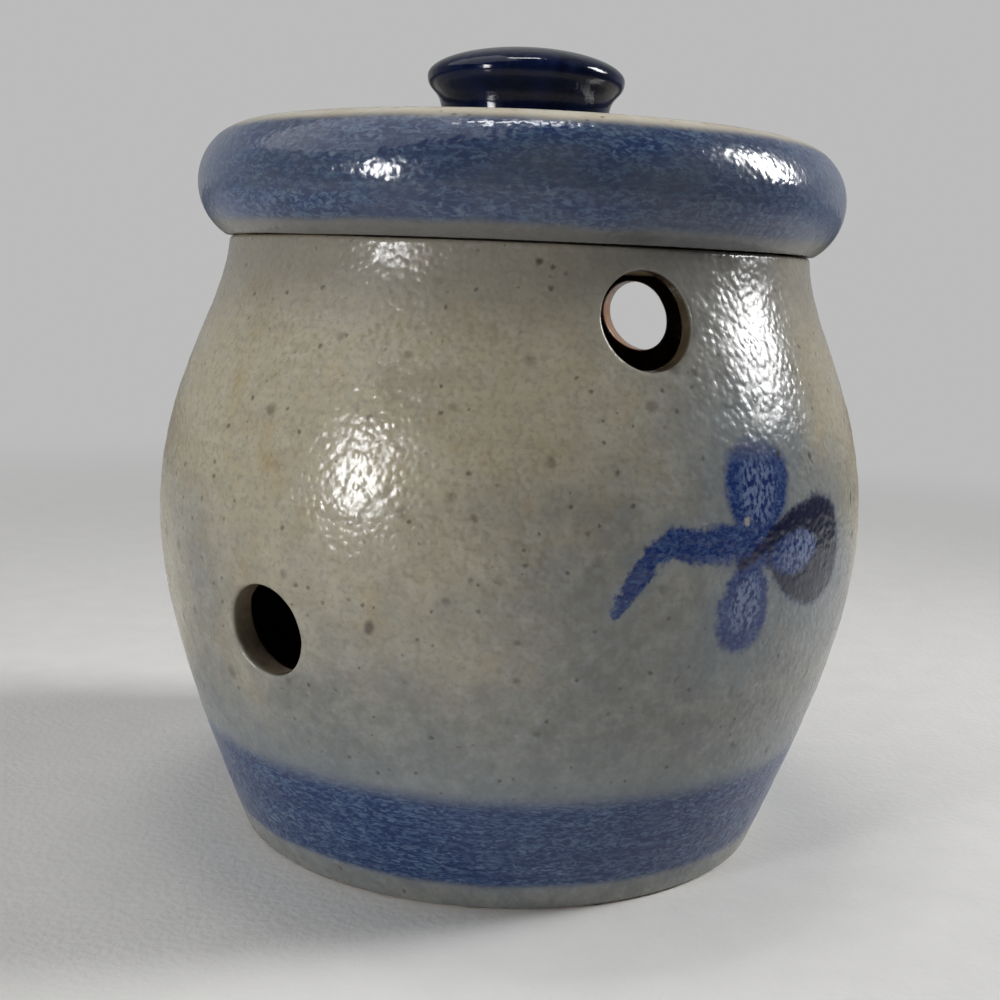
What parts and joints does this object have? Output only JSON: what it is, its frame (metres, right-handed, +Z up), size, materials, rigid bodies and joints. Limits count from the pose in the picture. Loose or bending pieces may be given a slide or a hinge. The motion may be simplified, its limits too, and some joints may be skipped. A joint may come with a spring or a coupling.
{
  "type": "garlic keeper",
  "caption": "Round-bellied stoneware jar with round air vents in its wall and a lift-off lid with a button knob, for keeping garlic.",
  "frame": {"origin": "middle of the foot, on the table", "axes": "+Z up along the axis the pieces were thrown on; -Y is the front, where one upper vent stands a little right of the middle"},
  "size_m": [0.12, 0.12, 0.1315],
  "materials": {
    "jar_glaze": "salt-glazed stoneware, warm grey with a cobalt band at the foot, orange-peel gloss",
    "lid_glaze": "salt-glazed stoneware, cobalt blue on the rolled edge, beige on the crown, orange-peel gloss",
    "knob_glaze": "thick cobalt glaze, blue-black and smooth gloss"
  },
  "bodies": {
    "jar": {"jar_body": "jar_glaze"},
    "lid": {"lid": "lid_glaze", "knob": "knob_glaze"}
  },
  "joints": [
    {"name": "lid_lift", "type": "slide", "parent": "jar", "child": "lid", "axis": [0, 0, 1], "range_m": [0, 0.1]}
  ]
}
